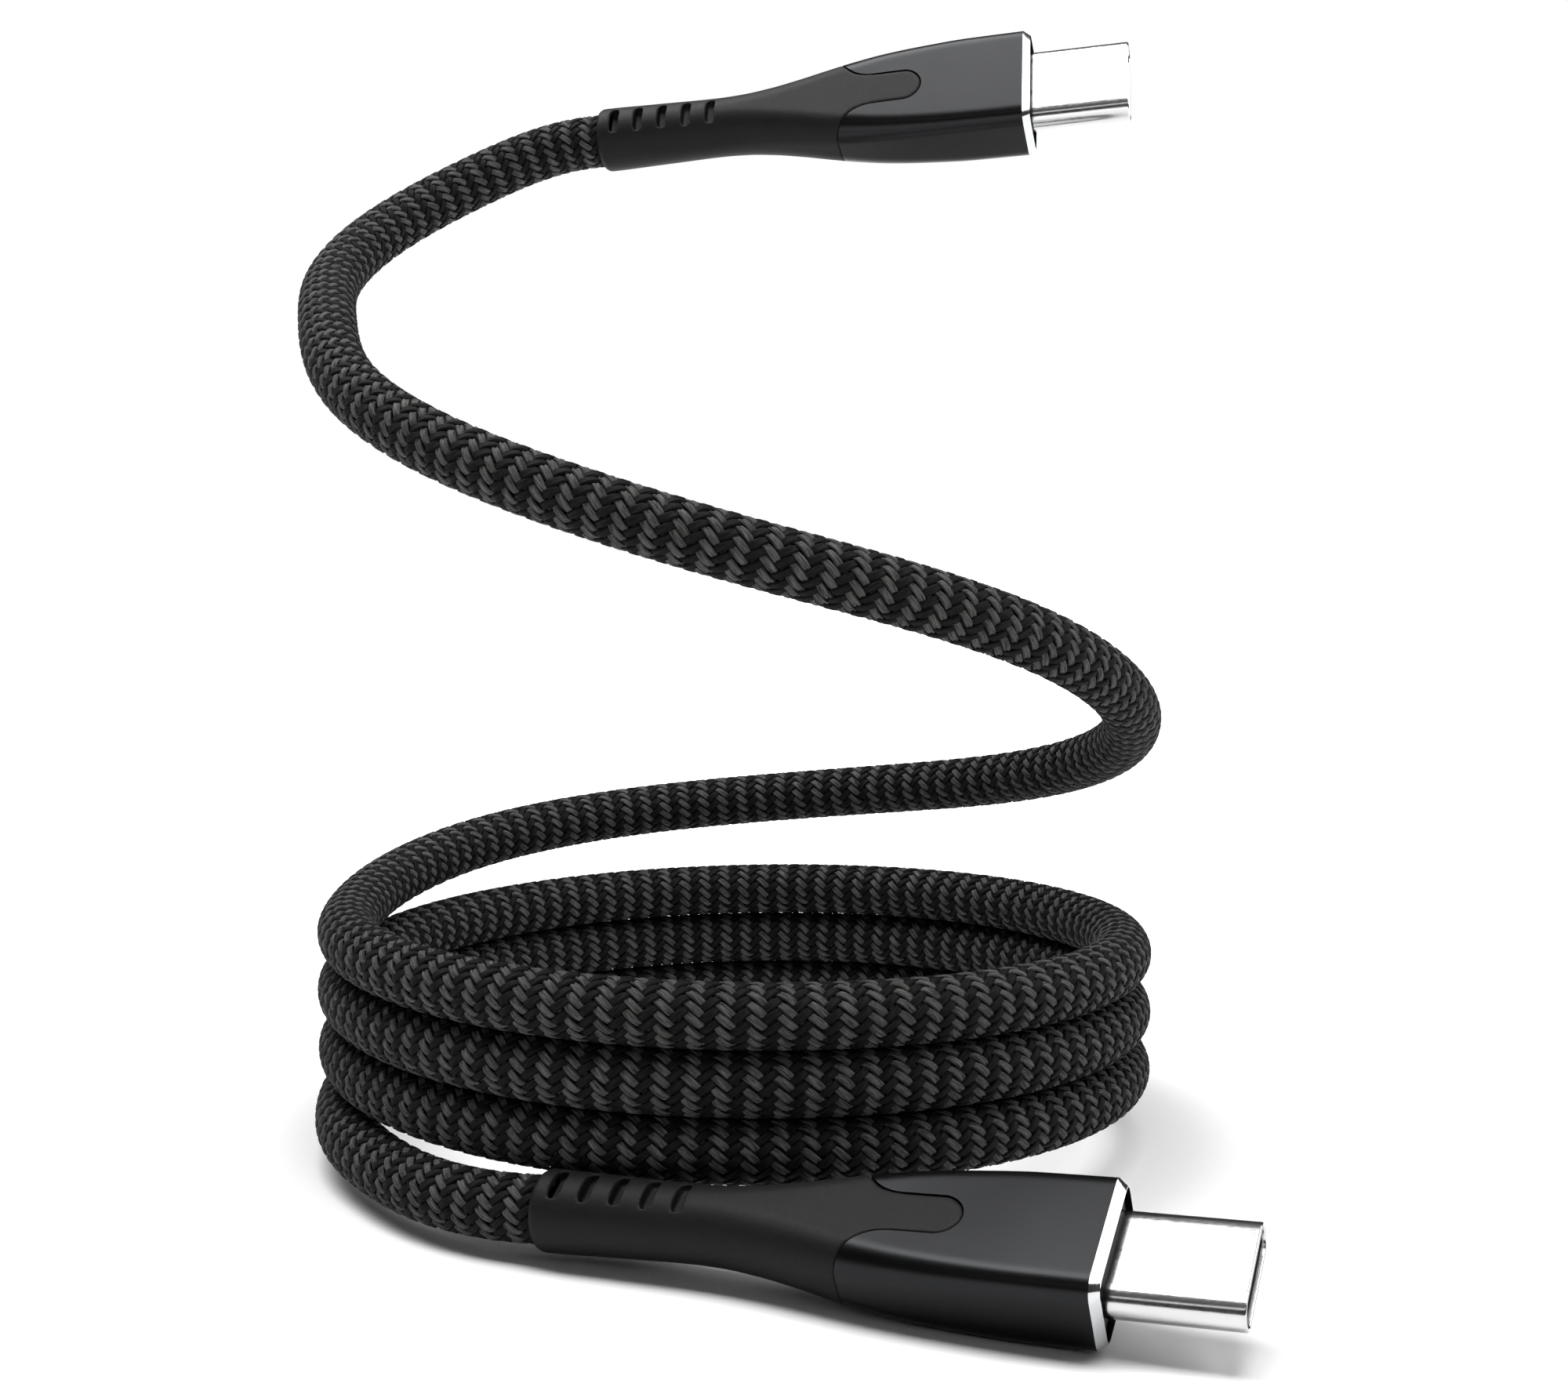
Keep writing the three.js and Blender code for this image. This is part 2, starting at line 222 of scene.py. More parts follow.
def core_material():
    """The dark filler that shows in the gaps between the yarns."""
    look = Shader("braid_filler", Specular_IOR_Level=0.05)
    grain = look.noise(look.place(), 5000)
    look.feed("Base Color", look.mixed(grain, (0.0004, 0.0004, 0.0004), (0.0015, 0.0015, 0.0015)))
    look.feed("Roughness", look.ramp(grain, 0.3, 0.7, 0.75, 0.95))
    look.bump(grain, 0.00003)
    return look.material


def rubber_material():
    look = Shader("boot_rubber", Specular_IOR_Level=0.18)
    fine = look.noise(look.place(), 9000, 4.0, 0.7)
    broad = look.noise(look.place(), 500, 2.0)
    look.feed("Base Color", look.mixed(broad, (0.0035, 0.0035, 0.0037), (0.007, 0.007, 0.0073)))
    look.feed("Roughness", look.ramp(fine, 0.3, 0.7, 0.48, 0.66))
    look.bump(fine, 0.00002, 0.6)
    return look.material


def anodised_material():
    look = Shader("anodised_sleeve", Metallic=1.0)
    blasted = look.noise(look.place(), 14000, 3.0, 0.7)
    broad = look.noise(look.place(), 260, 2.0)
    look.feed("Base Color", look.mixed(broad, (0.0195, 0.0199, 0.0209), (0.0235, 0.0239, 0.0251)))
    look.feed("Roughness", look.ramp(blasted, 0.3, 0.7, 0.27, 0.36))
    look.bump(blasted, 0.000008, 0.6)
    return look.material


def polished_rim_material():
    look = Shader("polished_rim", Metallic=1.0)
    marks = look.noise(look.stretched(look.place(), (9000, 900, 900)), 1.0, 3.0)
    look.feed("Base Color", look.mixed(marks, (0.56, 0.57, 0.58), (0.7, 0.7, 0.71)))
    look.feed("Roughness", look.ramp(marks, 0.3, 0.7, 0.1, 0.2))
    return look.material


def nickel_material():
    look = Shader("nickel_plate", Metallic=1.0)
    marks = look.noise(look.stretched(look.place(), (700, 9000, 9000)), 1.0, 4.0)
    cloud = look.noise(look.place(), 400, 2.0)
    look.feed("Base Color", look.mixed(cloud, (0.58, 0.58, 0.585), (0.64, 0.64, 0.645)))
    look.feed("Roughness", look.ramp(marks, 0.3, 0.7, 0.13, 0.23))
    look.bump(marks, 0.000001, 0.3)
    return look.material


def plastic_material(name, low, high, roughness):
    """Moulded plastic with a faint spark-eroded texture."""
    look = Shader(name, Specular_IOR_Level=0.45)
    grain = look.noise(look.place(), 12000, 3.0, 0.6)
    broad = look.noise(look.place(), 900, 2.0)
    look.feed("Base Color", look.mixed(broad, low, high))
    look.feed("Roughness", look.ramp(grain, 0.3, 0.7, roughness - 0.06, roughness + 0.08))
    look.bump(grain, 0.000008, 0.5)
    return look.material


def sheet_metal_material(name, low, high, roughness):
    """Rolled or plated sheet with fine lines along the plug."""
    look = Shader(name, Metallic=1.0)
    lines = look.noise(look.stretched(look.place(), (1200, 16000, 16000)), 1.0, 3.0)
    look.feed("Base Color", look.mixed(lines, low, high))
    look.feed("Roughness", look.ramp(lines, 0.3, 0.7, roughness - 0.05, roughness + 0.1))
    look.bump(lines, 0.000003, 0.6)
    return look.material


# The last colour given to each yarn is the painted shade at its edges, also used for its random darker
# patches.
LIGHT_YARN = yarn_material(
    "charcoal_yarn", dark=(0.012, 0.012, 0.0122), bright=(0.145, 0.143, 0.139), patch_and_edge_shade=(0.003, 0.003, 0.003),
)
DARK_YARN = yarn_material(
    "black_yarn", dark=(0.0015, 0.0015, 0.0015), bright=(0.015, 0.015, 0.0154), patch_and_edge_shade=(0.0008, 0.0008, 0.0008),
)
FILLER = core_material()
RUBBER = rubber_material()
ANODISED = anodised_material()
POLISHED = polished_rim_material()
NICKEL = nickel_material()
BLACK_PLASTIC = plastic_material("black_plastic", (0.008, 0.008, 0.009), (0.014, 0.014, 0.015), 0.42)
SPRING_STEEL = sheet_metal_material("spring_steel", (0.5, 0.5, 0.51), (0.66, 0.66, 0.67), 0.28)
CONTACT_GOLD = sheet_metal_material("contact_gold", (0.72, 0.5, 0.2), (0.86, 0.64, 0.3), 0.22)
CARD_GREEN = plastic_material("circuit_card", (0.02, 0.09, 0.05), (0.03, 0.13, 0.07), 0.3)
WIRE_COLOURS = {
    "wire_power": plastic_material("red_insulation", (0.38, 0.02, 0.02), (0.48, 0.04, 0.03), 0.35),
    "wire_data_plus": plastic_material("green_insulation", (0.02, 0.2, 0.07), (0.03, 0.28, 0.1), 0.35),
    "wire_config": plastic_material("blue_insulation", (0.02, 0.06, 0.3), (0.03, 0.09, 0.4), 0.35),
    "wire_data_minus": plastic_material("white_insulation", (0.7, 0.69, 0.64), (0.8, 0.79, 0.74), 0.35),
    "wire_ground": plastic_material("black_insulation", (0.012, 0.012, 0.012), (0.02, 0.02, 0.02), 0.35),
}
INNER_MATERIALS = {
    "contact_carrier": BLACK_PLASTIC, "contacts_top": CONTACT_GOLD, "contacts_bottom": CONTACT_GOLD,
    "latch_left": SPRING_STEEL, "latch_right": SPRING_STEEL, "mid_plate": SPRING_STEEL,
    "shield_can": SPRING_STEEL, "card": CARD_GREEN, "marker_chip": BLACK_PLASTIC,
    "crimp_ferrule": SPRING_STEEL, "cable_end": BLACK_PLASTIC,
    "wire_organiser": WIRE_COLOURS["wire_data_minus"], **WIRE_COLOURS,
}


# ---------------------------------------------------------------- mesh helpers

def mesh_object(name, points, faces, materials, smooth=True):
    mesh = bpy.data.meshes.new(name)
    faces = np.asarray(faces, np.int32)
    mesh.vertices.add(len(points))
    mesh.vertices.foreach_set("co", np.asarray(points, np.float32).ravel())
    mesh.loops.add(faces.size)
    mesh.loops.foreach_set("vertex_index", faces.ravel())
    mesh.polygons.add(len(faces))
    mesh.polygons.foreach_set("loop_start", np.arange(0, faces.size, 4, dtype=np.int32))
    mesh.polygons.foreach_set("use_smooth", np.full(len(faces), smooth))
    mesh.update(calc_edges=True)
    for material in materials:
        mesh.materials.append(material)
    made = bpy.data.objects.new(name, mesh)
    bpy.context.scene.collection.objects.link(made)
    return made


def skin_faces(rings, sides, closed=False):
    """Quads between rings of points. Each ring goes round once; closed also joins the last to the first."""
    ring = np.arange(rings if closed else rings - 1)[:, None]
    side = np.arange(sides)[None, :]
    after = (ring + 1) % rings
    beside = (side + 1) % sides
    corners = [ring * sides + side, ring * sides + beside, after * sides + beside, after * sides + side]
    return np.stack(np.broadcast_arrays(*corners), axis=-1).reshape(-1, 4)


def cap_faces(first, sides, flipped):
    """Quads that close a ring of an even number of points, from its lowest pair to its highest."""
    last = first + sides - 1
    rows = [(first + i, first + i + 1, last - i - 1, last - i) for i in range(sides // 2 - 1)]
    return np.array([row[::-1] if flipped else row for row in rows])


def rounded_ring(width, height, radius, sides):
    """Points of a rounded rectangle in Y and Z, evenly spaced in angle."""
    angle = (np.arange(sides) + 0.5) * 2 * math.pi / sides
    c = np.abs(np.cos(angle))
    s = np.abs(np.sin(angle))
    core = np.array([width / 2 - radius, height / 2 - radius])
    along = core[0] * c + core[1] * s
    reach = along + np.sqrt(np.maximum(along ** 2 - core @ core + radius ** 2, 0))
    right = (width / 2) / np.maximum(c, 1e-9)
    top = (height / 2) / np.maximum(s, 1e-9)
    reach = np.where(right * s <= core[1], right, np.where(top * c <= core[0], top, reach))
    return np.stack([reach * np.cos(angle), reach * np.sin(angle)], axis=1)


def outline_slopes():
    """How fast each measure changes at each row, level where it turns back, so that nothing overshoots."""
    rates = np.diff(OUTLINE[:, 1:], axis=0) / np.diff(OUTLINE[:, :1], axis=0)
    product = rates[:-1] * rates[1:]
    middle = np.where(product > 0, 2 * product / np.where(product > 0, rates[:-1] + rates[1:], 1), 0)
    return np.vstack([rates[:1], middle, rates[-1:]])


SLOPES = outline_slopes()


def outline_at(x):
    """Width, height and corner radius at x, on smooth curves through the rows."""
    stations = OUTLINE[:, 0]
    values = OUTLINE[:, 1:]
    slopes = SLOPES
    i = int(np.clip(np.searchsorted(stations, x) - 1, 0, len(stations) - 2))
    gap = stations[i + 1] - stations[i]
    u = min(max((x - stations[i]) / gap, 0), 1)
    return (
        (1 + 2 * u) * (1 - u) ** 2 * values[i] + u * (1 - u) ** 2 * gap * slopes[i]
        + u * u * (3 - 2 * u) * values[i + 1] + u * u * (u - 1) * gap * slopes[i + 1]
    )


def outline_ring(x, inset=0.0, sides=160, grow_x=0.0):
    width, height, radius = outline_at(x)
    ring = rounded_ring(width - 2 * inset, height - 2 * inset, max(radius - inset, 0.0002), sides)
    return np.column_stack([np.full(sides, x + grow_x), ring])


def solid_between(name, rings, materials):
    """A closed body from a list of rings that have the same number of points."""
    sides = len(rings[0])
    faces = skin_faces(len(rings), sides)
    caps = [cap_faces(0, sides, True), cap_faces((len(rings) - 1) * sides, sides, False)]
    return outward(mesh_object(name, np.vstack(rings), np.vstack([faces, *caps]), materials))


def sleeve_between(name, rings, materials):
    """A closed tube wall from rings that run along the outside and back along the inside."""
    sides = len(rings[0])
    return outward(mesh_object(name, np.vstack(rings), skin_faces(len(rings), sides, closed=True), materials))


def outward(made):
    """Turns the faces outwards if the mesh encloses a negative volume."""
    mesh = made.data
    co = np.array([v.co for v in mesh.vertices])
    corners = np.array([p.vertices[:] for p in mesh.polygons])
    a, b, c, d = (co[corners[:, i]] for i in range(4))
    volume = np.einsum("ij,ij->", a, np.cross(b, c)) + np.einsum("ij,ij->", a, np.cross(c, d))
    if volume < 0:
        mesh.flip_normals()
    return made


def bar_rings(x0, x1, width, height, radius, sides=96):
    ring = rounded_ring(width, height, radius, sides)
    return [np.column_stack([np.full(sides, x), ring]) for x in (x0, x1)]


def prism(name, outline, z0, z1):
    """A closed body from an outline in X and Y."""
    count = len(outline)
    rings = [np.column_stack([outline, np.full(count, z)]) for z in (z0, z1)]
    faces = skin_faces(2, count)
    caps = [cap_faces(0, count, True), cap_faces(count, count, False)]
    return outward(mesh_object(name, np.vstack(rings), np.vstack([faces, *caps]), []))


def carved(body, tools, operation="DIFFERENCE"):
    """The body after the tools have been taken from it. The tools are used up."""
    for tool in tools:
        cut = body.modifiers.new("cut", "BOOLEAN")
        cut.operation = operation
        cut.solver = "EXACT"
        cut.object = tool
    applied(body)
    for tool in tools:
        bpy.data.objects.remove(tool)
    return body


def applied(body):
    """Turns the body's modifiers into mesh."""
    graph = bpy.context.evaluated_depsgraph_get()
    final = bpy.data.meshes.new_from_object(body.evaluated_get(graph))
    body.modifiers.clear()
    body.data = final
    return body


def sharpened(body, degrees=35):
    """Smooth shading, with sharp edges where faces meet at more than the angle."""
    body.data.shade_smooth()
    body.data.set_sharp_from_angle(angle=math.radians(degrees))
    return body


# ---------------------------------------------------------------- the cable

def plug_matrix(plug):
    """From the plug's own frame to the part's."""
    forward = Vector(plug["along"]).normalized()
    level = Vector((-forward.y, forward.x, 0)).normalized()
    turn = Matrix((forward, level, forward.cross(level))).transposed().to_4x4()
    at = Vector(plug["at"]) + Vector((*COIL_AXIS, 0))
    return Matrix.Translation(at) @ turn @ Matrix.Rotation(math.radians(plug["roll"]), 4, "X")


def cable_points():
    """The points of the whole cable, from the upper boot down to the lower boot."""
    wound = []
    for i in range(1, TURNS * POINTS_PER_TURN):
        turned = 2 * math.pi * i / POINTS_PER_TURN
        fallen = TURN_PITCH * i / POINTS_PER_TURN
        wound.append((-TURN_R * math.cos(turned), -TURN_R * math.sin(turned), FREE_ROUTE[0][2] - fallen))
    points = np.array([*FREE_ROUTE[::-1], *wound, *LEAD_ROUTE])
    return points + np.array([*COIL_AXIS, 0])


def smooth_line(points, start, end, step):
    """Evenly spaced points on one smooth curve through the given ones, with the given end directions."""
    gap = np.linalg.norm(np.diff(points, axis=0), axis=1)
    count = len(points)
    system = np.zeros((count, count))
    wanted = np.zeros((count, 3))
    system[0, 0] = system[-1, -1] = 1
    wanted[0], wanted[-1] = start, end
    for i in range(1, count - 1):
        before, after = gap[i - 1], gap[i]
        system[i, i - 1:i + 2] = after, 2 * (before + after), before
        rise = (points[i] - points[i - 1]) * after / before + (points[i + 1] - points[i]) * before / after
        wanted[i] = 3 * rise
    slope = np.linalg.solve(system, wanted)
    u = np.linspace(0, 1, 41)[:-1, None]
    pieces = [
        (1 + 2 * u) * (1 - u) ** 2 * points[i] + u * (1 - u) ** 2 * gap[i] * slope[i]
        + u * u * (3 - 2 * u) * points[i + 1] + u * u * (u - 1) * gap[i] * slope[i + 1]
        for i in range(count - 1)
    ]
    fine = np.vstack([*pieces, points[-1:]])
    run = np.concatenate([[0], np.cumsum(np.linalg.norm(np.diff(fine, axis=0), axis=1))])
    even = np.linspace(0, run[-1], round(run[-1] / step) + 1)
    return np.column_stack([np.interp(even, run, fine[:, axis]) for axis in range(3)]), run[-1]


def carried_frames(line):
    """Directions along the line, and two across it that don't twist about it."""
    along = np.gradient(line, axis=0)
    along /= np.linalg.norm(along, axis=1)[:, None]
    across = np.cross(along[0], (0, 0, 1))
    across /= np.linalg.norm(across)
    sides = [across]
    for i in range(len(line) - 1):
        chord = line[i + 1] - line[i]
        chord /= np.linalg.norm(chord)
        moved = sides[-1] - 2 * (chord @ sides[-1]) * chord
        leaned = along[i] - 2 * (chord @ along[i]) * chord
        turn = along[i + 1] - leaned
        moved = moved - 2 / (turn @ turn) * (turn @ moved) * turn
        sides.append(moved / np.linalg.norm(moved))
    sides = np.array(sides)
    return along, sides, np.cross(along, sides)


def yarn_grid(line, sides, ups, first, last, hand, jitter):
    """Points of one family's yarns between two steps of the line, and each point's place in its yarn."""
    step = np.arange(first, last + 1)
    crossing = step * 32 / STEPS_PER_LEAD
    lean = hand * 2 * math.pi * step / STEPS_PER_LEAD
    across, height = YARN_SECTION.T
    half = YARN_COVER * math.pi / YARNS
    yarn = np.arange(YARNS)[:, None, None]
    wander = 0.02 * np.sin(crossing[None, :, None] * 0.19 + jitter[:, 0, None, None] * 6.3)
    off = across[None, None, :] * half * (1 + 0.05 * jitter[:, 1, None, None])
    angle = 2 * math.pi * yarn / YARNS + lean[None, :, None] + off + wander
    phase = crossing[None, :, None] + hand * off * YARNS / (2 * math.pi)
    swing = np.cos((phase - 0.5) * math.pi / 2)
    wave = hand * 1.118 * swing / np.sqrt(swing ** 2 + 0.25)
    reach = YARN_R + YARN_WAVE * wave + height[None, None, :] + 0.00001 * (jitter[:, 2, None, None] - 0.5)
    rows = slice(first, last + 1)
    points = (
        line[rows][None, :, None, :]
        + (reach * np.cos(angle))[..., None] * sides[rows][None, :, None, :]
        + (reach * np.sin(angle))[..., None] * ups[rows][None, :, None, :]
    )
    run = np.broadcast_to((step * BRAID_LEAD / STEPS_PER_LEAD)[None, :, None], reach.shape)
    place = np.stack(np.broadcast_arrays(across[None, None, :], run, jitter[:, 3, None, None]), axis=-1)
    return points.reshape(-1, 3), place.reshape(-1, 3)


def sharpen_lengthways(mesh, corners):
    """Keeps the long edges of every yarn crisp, as a flat yarn's are."""
    ends = np.empty(len(mesh.edges) * 2, np.int32)
    mesh.edges.foreach_get("vertices", ends)
    ends = ends.reshape(-1, 2) % corners
    sharp = mesh.attributes.new("sharp_edge", "BOOLEAN", "EDGE")
    sharp.data.foreach_set("value", ends[:, 0] == ends[:, 1])


def braid_piece(name, material, line, sides, ups, first, last, hand, jitter):
    points, place = yarn_grid(line, sides, ups, first, last, hand, jitter)
    rings = last - first + 1
    corners = len(YARN_SECTION)
    caps = [cap_faces(0, corners, True), cap_faces((rings - 1) * corners, corners, False)]
    one = np.vstack([skin_faces(rings, corners), *caps])
    faces = (np.arange(YARNS)[:, None, None] * rings * corners + one[None]).reshape(-1, 4)
    made = outward(mesh_object(name, points, faces, [material]))
    made.data.attributes.new("fibre", "FLOAT_VECTOR", "POINT").data.foreach_set("vector", place.ravel())
    sharpen_lengthways(made.data, corners)
    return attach(made, "root")


def core_tube(line, sides, ups):
    """The filled middle of the cable, under the braid."""
    angle = np.arange(CORE_SIDES) * 2 * math.pi / CORE_SIDES
    every = slice(None, None, 4)
    points = (
        line[every, None, :] + CORE_R * np.cos(angle)[None, :, None] * sides[every, None, :]
        + CORE_R * np.sin(angle)[None, :, None] * ups[every, None, :]
    )
    core = solid_between("cable_core", list(points), [FILLER])
    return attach(core, "root")


def make_cable():
    into_cable = -np.array(Vector(UPPER_PLUG["along"]).normalized())
    into_boot = np.array(Vector(LOWER_PLUG["along"]).normalized())
    points = cable_points()
    ends = points[0] - BOOT_ENTRY * into_cable, points[-1] + BOOT_ENTRY * into_boot
    points = np.vstack([ends[0], points, ends[1]])
    line, length = smooth_line(points, into_cable, into_boot, BRAID_LEAD / STEPS_PER_LEAD)
    _, sides, ups = carried_frames(line)
    rng = np.random.default_rng(7)
    bounds = np.linspace(0, len(line) - 1, BRAID_SPANS + 1).round().astype(int)
    for name, material, hand in (("charcoal", LIGHT_YARN, 1), ("black", DARK_YARN, -1)):
        jitter = rng.random((YARNS, 4))
        for i in range(BRAID_SPANS):
            first, last = bounds[i], bounds[i + 1]
            piece = f"braid_{name}_{i + 1}"
            braid_piece(piece, material, line, sides, ups, first, last, hand, jitter)
    core = core_tube(line, sides, ups)
    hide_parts("free_stretch", "wound_turns", "lower_lead")


make_cable()


# ---------------------------------------------------------------- one plug

def tongue_prism(grow):
    """The body that divides boot from sleeve: wide at the back, a round-ended tongue on the wide faces."""
    half = TONGUE_W / 2 + grow
    shoulder = REAR_X + grow
    u = np.linspace(0, 1, 10)[:, None]
    flank = np.array([(shoulder, 0.0042), (shoulder + 0.0011, half), (shoulder + 0.0032, half)])
    curve = (1 - u) ** 2 * flank[0] + 2 * u * (1 - u) * flank[1] + u ** 2 * flank[2]
    turn = np.linspace(math.pi / 2, 0, 14)[1:, None]
    centre = TONGUE_TIP_X + grow - half
    tip = np.hstack([centre + half * np.cos(turn), half * np.sin(turn)])[:-1]
    upper = np.vstack([[(-0.001, 0.007), (shoulder, 0.007)], curve, tip, [(centre + half, 0.0003)]])
    outline = np.vstack([upper, (upper * (1, -1))[::-1]])
    return prism("tongue_prism", outline, -0.006, 0.006)


def slot_cutters():
    cutters = []
    for side in (0, math.pi):
        for i in range(SLOT_COUNT):
            rings = bar_rings(SLOT_FLOOR_Z, SLOT_TOP_Z, SLOT_W, SLOT_LENGTH, SLOT_W / 2, 32)
            cutter = solid_between("slot", [ring[:, (1, 2, 0)] for ring in rings], [])
            place = Matrix.Translation((SLOT_FIRST_X + i * SLOT_STEP, 0, 0)) @ Matrix.Rotation(side, 4, "X")
            cutter.data.transform(place)
            cutters.append(cutter)
    return cutters


def make_boot(name):
    """The rubber strain relief: slots in its neck, a hollow inside, and two tongues over the sleeve."""
    stations = np.arange(0.0004, RIM_X, 0.0004)
    rings = [outline_ring(0.0001, 0.0001), *[outline_ring(x) for x in stations]]
    rings.insert(0, outline_ring(0.0, 0.0003))
    boot = carved(solid_between(name, rings, [RUBBER]), [tongue_prism(0)], "INTERSECT")
    pocket = solid_between("pocket", [bar_rings(row[0], row[0], *row[1:])[0] for row in POCKET], [])
    bore = solid_between("bore", bar_rings(*BORE_X, BORE_D, BORE_D, BORE_D / 2), [])
    mouth_end = BOOT_ENTRY + 0.0003
    mouth = solid_between("mouth", bar_rings(-0.001, mouth_end, MOUTH_D, MOUTH_D, MOUTH_D / 2), [])
    boot = carved(boot, [pocket, bore, mouth, *slot_cutters()])
    remesh = boot.modifiers.new("remesh", "REMESH")
    remesh.mode = "VOXEL"
    remesh.voxel_size = BOOT_VOXEL
    soften = boot.modifiers.new("soften", "SMOOTH")
    soften.factor = 0.5
    soften.iterations = 6
    applied(boot)
    boot.data.shade_smooth()
    boot.data.materials.clear()
    boot.data.materials.append(RUBBER)
    return boot


def make_sleeve(name):
    """The metal sleeve: anodised outside, with a polished chamfer round its mouth."""
    outer = [(x, 0.0) for x in np.arange(REAR_X, RIM_X - RIM_CHAMFER, 0.0006)]
    chamfer = [(RIM_X - RIM_CHAMFER, 0.0), (RIM_X, RIM_CHAMFER * 0.8)]
    inner = [(RIM_X, SLEEVE_WALL), (RIM_X - 0.002, SLEEVE_WALL), (0.030, SLEEVE_WALL), (REAR_X, SLEEVE_WALL)]
    profile = [*outer, *chamfer, *inner]
    sleeve = sleeve_between(name, [outline_ring(x, inset) for x, inset in profile], [ANODISED, POLISHED])
    for face in sleeve.data.polygons:
        if face.center.x > RIM_X - RIM_CHAMFER:
            face.material_index = 1
    return sharpened(carved(sleeve, [tongue_prism(0.00008)]))


def make_insert(name):
    """The black block in the sleeve's mouth, with the hole that the shell comes through."""
    rings = bar_rings(0.0376, INSERT_FACE_X - 0.0001, 0.0091, 0.0045, 0.00085)
    rings.append(bar_rings(INSERT_FACE_X, INSERT_FACE_X, 0.0089, 0.0043, 0.00075)[0])
    hole = solid_between("hole", bar_rings(0.037, 0.041, SHELL_W + 0.0001, SHELL_H + 0.0001, 0.0012), [])
    return sharpened(carved(solid_between(name, rings, [BLACK_PLASTIC]), [hole]))


def make_shell(name):
    """The plated mating shell: a flat oval tube whose mouth is rolled round."""
    lip = SHELL_WALL / 2
    turn = np.linspace(math.pi / 2, -math.pi / 2, 9)
    mouth = [(TIP_X - lip + lip * math.cos(a), lip - lip * math.sin(a)) for a in turn]
    profile = [(0.035, 0.0), (0.041, 0.0), (0.045, 0.0), *mouth, (0.045, SHELL_WALL), (0.035, SHELL_WALL)]
    rings = []
    for x, inset in profile:
        ring = rounded_ring(SHELL_W - 2 * inset, SHELL_H - 2 * inset, SHELL_H / 2 - 0.00001 - inset, 160)
        rings.append(np.column_stack([np.full(160, x), ring]))
    return sharpened(sleeve_between(name, rings, [NICKEL]), 60)


def make_plug(side, plug):
    place = plug_matrix(plug)
    makers = {
        "boot": (make_boot, "boot_rubber"), "housing": (make_sleeve, "anodised_aluminium"),
        "front_insert": (make_insert, "black_plastic"), "plug_shell": (make_shell, "nickel_plate"),
    }
    for part, (maker, slot) in makers.items():
        made = maker(f"{side}_{part}_skin")
        made.data.transform(place)
        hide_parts(f"{side}_{part}")
        if part == "boot":
            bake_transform(made)
        else:
            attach(made, f"{side}_plug")


make_plug("upper", UPPER_PLUG)
make_plug("lower", LOWER_PLUG)


# ---------------------------------------------------------------- CAD nodes that stay, floor and light

def finish_cad_nodes():
    for name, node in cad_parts.items():
        material = INNER_MATERIALS.get(name.split("_", 1)[1], FILLER)
        node.data.materials.clear()
        node.data.materials.append(material)


FLOOR_REACH = 2.0
FLOOR_STRIPS = 7
FLOOR_GLOW = (0.13, 0.42)  # distances between which the floor turns evenly white


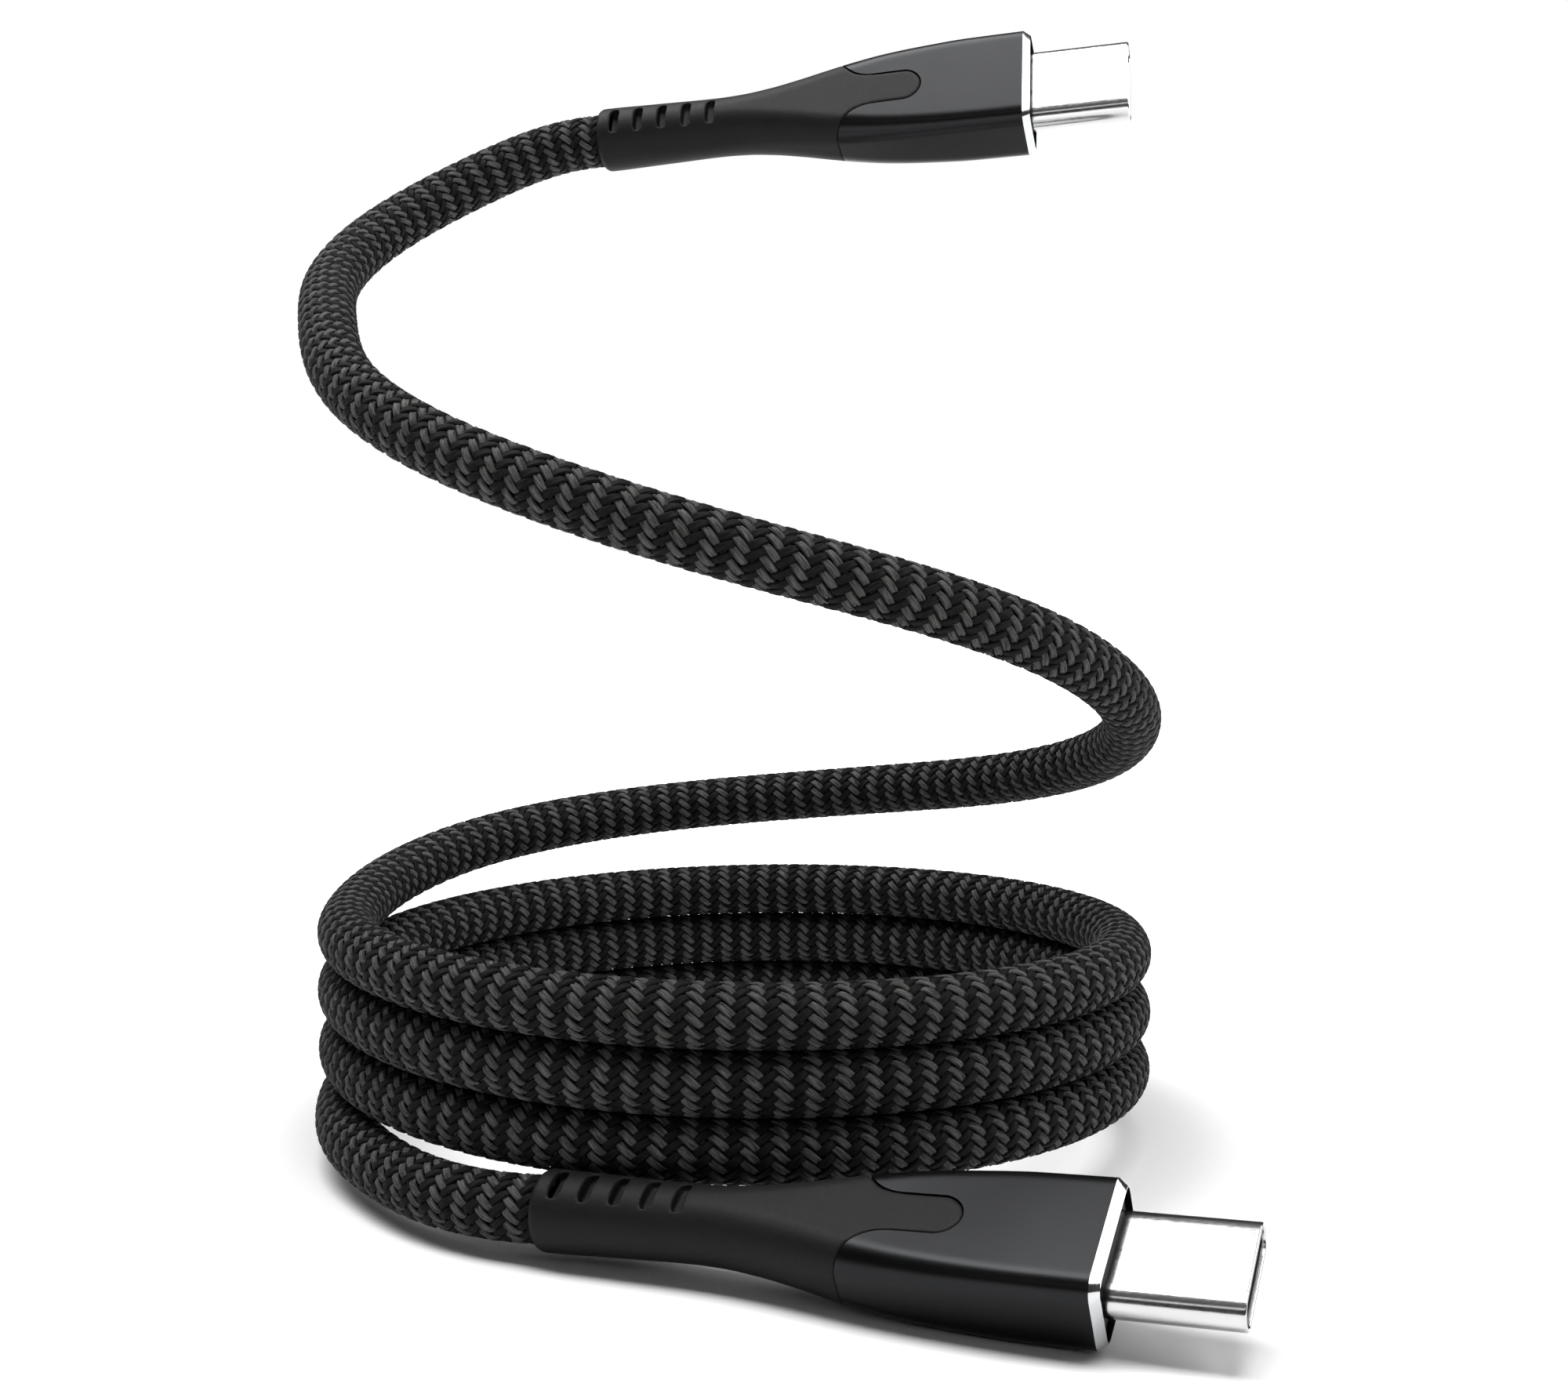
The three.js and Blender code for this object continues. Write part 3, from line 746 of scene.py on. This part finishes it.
def make_floor():
    """A pale floor, evenly white away from the object, so that it runs into the white behind it."""
    sides = (-FLOOR_REACH, FLOOR_REACH)
    points = [(x, y, -0.0001) for y in np.linspace(*sides, FLOOR_STRIPS + 1) for x in sides]
    faces = [(2 * i, 2 * i + 1, 2 * i + 3, 2 * i + 2) for i in range(FLOOR_STRIPS)]
    look = Shader("floor_paper", Specular_IOR_Level=0.1, Emission_Color=(1, 1, 1, 1))
    grain = look.noise(look.place(), 900)
    look.feed("Base Color", look.mixed(grain, (0.84, 0.84, 0.84), (0.87, 0.87, 0.87)))
    look.feed("Roughness", look.ramp(grain, 0.3, 0.7, 0.85, 0.95))
    distance = look.node("ShaderNodeVectorMath", {0: look.place()}, operation="LENGTH").outputs["Value"]
    look.feed("Emission Strength", look.ramp(distance, *FLOOR_GLOW, 0, 1))
    floor = mesh_object("floor", np.array(points), faces, [look.material])


def make_light(name, at, aim, size, power):
    data = bpy.data.lights.new(name, "AREA")
    data.shape = "RECTANGLE"
    data.size, data.size_y = size
    data.energy = power
    light = bpy.data.objects.new(name, data)
    light.location = at
    light.rotation_euler = (Vector(aim) - Vector(at)).to_track_quat("-Z", "Y").to_euler()
    bpy.context.scene.collection.objects.link(light)


def make_sky():
    """Soft light from all round, dimmer towards the horizon, behind a plain white view."""
    world = bpy.data.worlds.new("studio")
    world.use_nodes = True
    tree = world.node_tree
    direction = tree.nodes.new("ShaderNodeTexCoord").outputs["Generated"]
    parts = tree.nodes.new("ShaderNodeSeparateXYZ")
    tree.links.new(direction, parts.inputs["Vector"])
    height = tree.nodes.new("ShaderNodeMapRange")
    tree.links.new(parts.outputs["Z"], height.inputs["Value"])
    for socket, value in (("From Min", 0.5), ("From Max", 1.0), ("To Min", 0.04), ("To Max", 0.2)):
        height.inputs[socket].default_value = value
    seen = tree.nodes.new("ShaderNodeMix")
    tree.links.new(tree.nodes.new("ShaderNodeLightPath").outputs["Is Camera Ray"], seen.inputs["Factor"])
    tree.links.new(height.outputs["Result"], seen.inputs[2])
    seen.inputs[3].default_value = 1.0
    tree.links.new(seen.outputs[0], tree.nodes["Background"].inputs["Strength"])
    tree.nodes["Background"].inputs["Color"].default_value = (1, 1, 1, 1)
    bpy.context.scene.world = world


def make_studio():
    make_floor()
    make_sky()
    make_light("key", (-0.15, 0.07, 0.75), (-0.02, 0, 0.04), (0.42, 1.05), 10.8)
    make_light("side", (0.62, 0.05, 0.5), (0, 0, 0.04), (0.6, 0.45), 3.2)
    make_light("front_strip", (0, -0.8, 0.55), (0, 0, 0.04), (1.6, 0.15), 0.8)
    bpy.context.scene.view_settings.view_transform = "Standard"


finish_cad_nodes()
make_studio()
